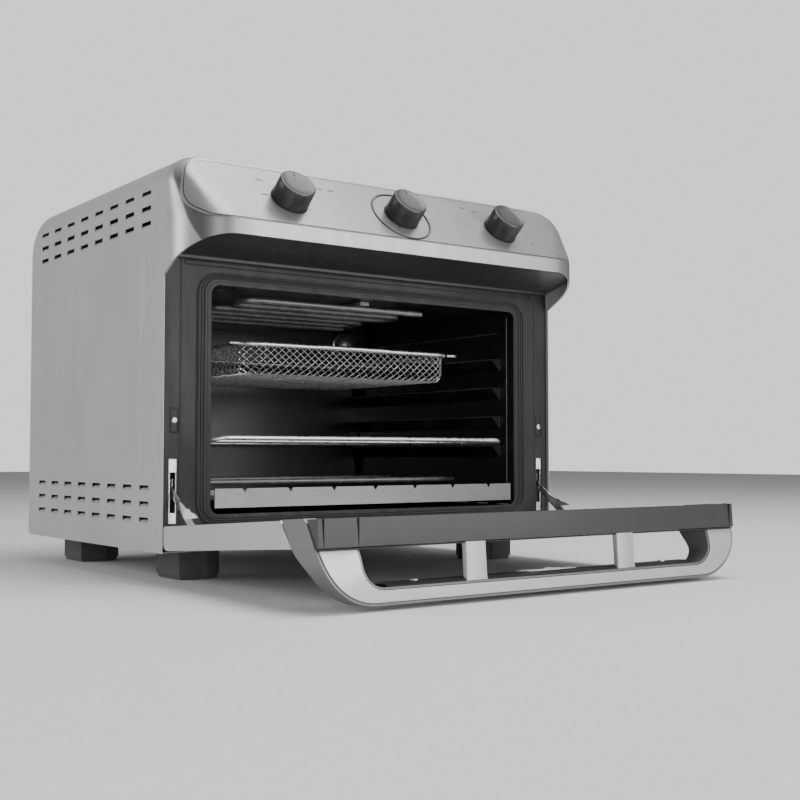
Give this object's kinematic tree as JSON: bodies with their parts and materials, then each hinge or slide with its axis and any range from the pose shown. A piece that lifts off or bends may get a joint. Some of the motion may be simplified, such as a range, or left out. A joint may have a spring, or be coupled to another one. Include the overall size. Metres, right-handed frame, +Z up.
{
  "type": "countertop convection oven",
  "caption": "Wide countertop convection oven with a drop-down glass door on slotted arms, slanted control fascia with knobs, frying basket, wire rack, crumb tray and ceiling fan.",
  "frame": {"origin": "centre of the bounding box at table level, under the feet, with the door open on its stop", "axes": "+X to the viewer's right when facing the oven's door, +Y from the door into the oven, +Z up"},
  "size_m": [0.53, 0.6794, 0.434],
  "materials": {
    "light_grey_paint": "satin fine-grained light grey paint",
    "plate_grey": "smooth semi-gloss grey facing",
    "dark_grey_paint": "satin dark grey paint",
    "door_trim_grey": "satin moulded dark grey",
    "black_plastic": "matte black",
    "cavity_enamel": "semi-gloss black enamel coating",
    "galvanised_steel": "zinc-plated, lightly spangled",
    "tray_aluminium": "satin light metal",
    "chrome_wire": "bright plated wire and mesh",
    "heater_sheath": "dull heat-darkened steel tube",
    "seal_rubber": "matte black silicone",
    "door_glass": "clear tinted tempered glass",
    "lamp_glass": "clear ribbed glass dome",
    "knob_grey": "satin metallic grey",
    "foot_rubber": "matte dark grey ribbed"
  },
  "bodies": {
    "oven": {"back_panel": "light_grey_paint", "base_panel": "galvanised_steel", "control_bracket": "galvanised_steel", "control_fascia": "light_grey_paint", "control_plate": "plate_grey", "cord_gland": "black_plastic", "door_gasket": "seal_rubber", "fan_motor": "galvanised_steel", "foot_front_left": "foot_rubber", "foot_front_right": "foot_rubber", "foot_rear_left": "foot_rubber", "foot_rear_right": "foot_rubber", "front_frame": "dark_grey_paint", "heater_hanger": "galvanised_steel", "heater_lower": "heater_sheath", "heater_upper": "heater_sheath", "hinge_bracket_left": "galvanised_steel", "hinge_bracket_right": "galvanised_steel", "hinge_plate_left": "galvanised_steel", "hinge_plate_right": "galvanised_steel", "lamp_holder": "black_plastic", "liner_back": "cavity_enamel", "liner_ceiling": "cavity_enamel", "liner_flange": "dark_grey_paint", "liner_floor": "cavity_enamel", "liner_left": "cavity_enamel", "liner_right": "cavity_enamel", "motor_bridge": "galvanised_steel", "outer_cabinet": "light_grey_paint", "oven_lamp_glass": "lamp_glass", "selector_body": "black_plastic", "selector_ring": "plate_grey", "soffit_panel": "dark_grey_paint", "thermostat_body": "black_plastic", "timer_body": "black_plastic"},
    "door": {"door_frame": "light_grey_paint", "door_inner_glass": "door_glass", "door_outer_glass": "door_glass", "door_top_trim": "door_trim_grey", "handle_body": "light_grey_paint", "handle_cover": "plate_grey", "handle_post_left": "light_grey_paint", "handle_post_right": "light_grey_paint", "arm_pin_left": "galvanised_steel", "arm_pin_right": "galvanised_steel", "hinge_pin_left": "galvanised_steel", "hinge_pin_right": "galvanised_steel"},
    "hinge_arm_left": {"hinge_arm_left": "galvanised_steel"},
    "hinge_arm_right": {"hinge_arm_right": "galvanised_steel"},
    "thermostat": {"thermostat_knob": "knob_grey", "thermostat_shaft": "galvanised_steel"},
    "selector": {"selector_knob": "knob_grey", "selector_shaft": "galvanised_steel"},
    "timer": {"timer_knob": "knob_grey", "timer_shaft": "galvanised_steel"},
    "fan": {"fan_rotor": "galvanised_steel"},
    "tray": {"crumb_tray": "tray_aluminium"},
    "rack": {"wire_rack": "chrome_wire"},
    "basket": {"fry_basket": "chrome_wire", "basket_frame": "chrome_wire"}
  },
  "joints": [
    {"name": "door_hinge", "type": "hinge", "parent": "oven", "child": "door", "pos_m": [0, -0.05574, 0.04902], "axis": [1, 0, 0], "range_deg": [-86, 0]},
    {"name": "left_arm_pivot", "type": "hinge", "parent": "door", "child": "hinge_arm_left", "pos_m": [-0.2505, -0.10074, 0.049], "axis": [1, 0, 0], "range_deg": [0, 43.01]},
    {"name": "right_arm_pivot", "type": "hinge", "parent": "door", "child": "hinge_arm_right", "pos_m": [0.2505, -0.10074, 0.049], "axis": [1, 0, 0], "range_deg": [0, 43.01]},
    {"name": "thermostat_turn", "type": "hinge", "parent": "oven", "child": "thermostat", "pos_m": [-0.1445, -0.09165, 0.3945], "axis": [0, -0.7682, 0.6402], "range_deg": [-280, 0]},
    {"name": "selector_turn", "type": "hinge", "parent": "oven", "child": "selector", "pos_m": [0, -0.09165, 0.3945], "axis": [0, -0.7682, 0.6402], "range_deg": [-240, 0]},
    {"name": "timer_turn", "type": "hinge", "parent": "oven", "child": "timer", "pos_m": [0.1445, -0.09165, 0.3945], "axis": [0, -0.7682, 0.6402], "range_deg": [-330, 0]},
    {"name": "fan_spin", "type": "hinge", "parent": "oven", "child": "fan", "pos_m": [0, 0.12685, 0.3175], "axis": [0, 0, 1], "continuous": true},
    {"name": "tray_slide", "type": "slide", "parent": "oven", "child": "tray", "axis": [0, -0.9976, 0.0698], "range_m": [0, 0.345]},
    {"name": "rack_slide", "type": "slide", "parent": "oven", "child": "rack", "axis": [0, -1, 0], "range_m": [0, 0.345]},
    {"name": "basket_slide", "type": "slide", "parent": "oven", "child": "basket", "axis": [0, -1, 0], "range_m": [0, 0.335]}
  ],
  "couplings": [
    {"joint": "left_arm_pivot", "follows": "door_hinge", "ratio": -0.5},
    {"joint": "right_arm_pivot", "follows": "door_hinge", "ratio": -0.5}
  ]
}
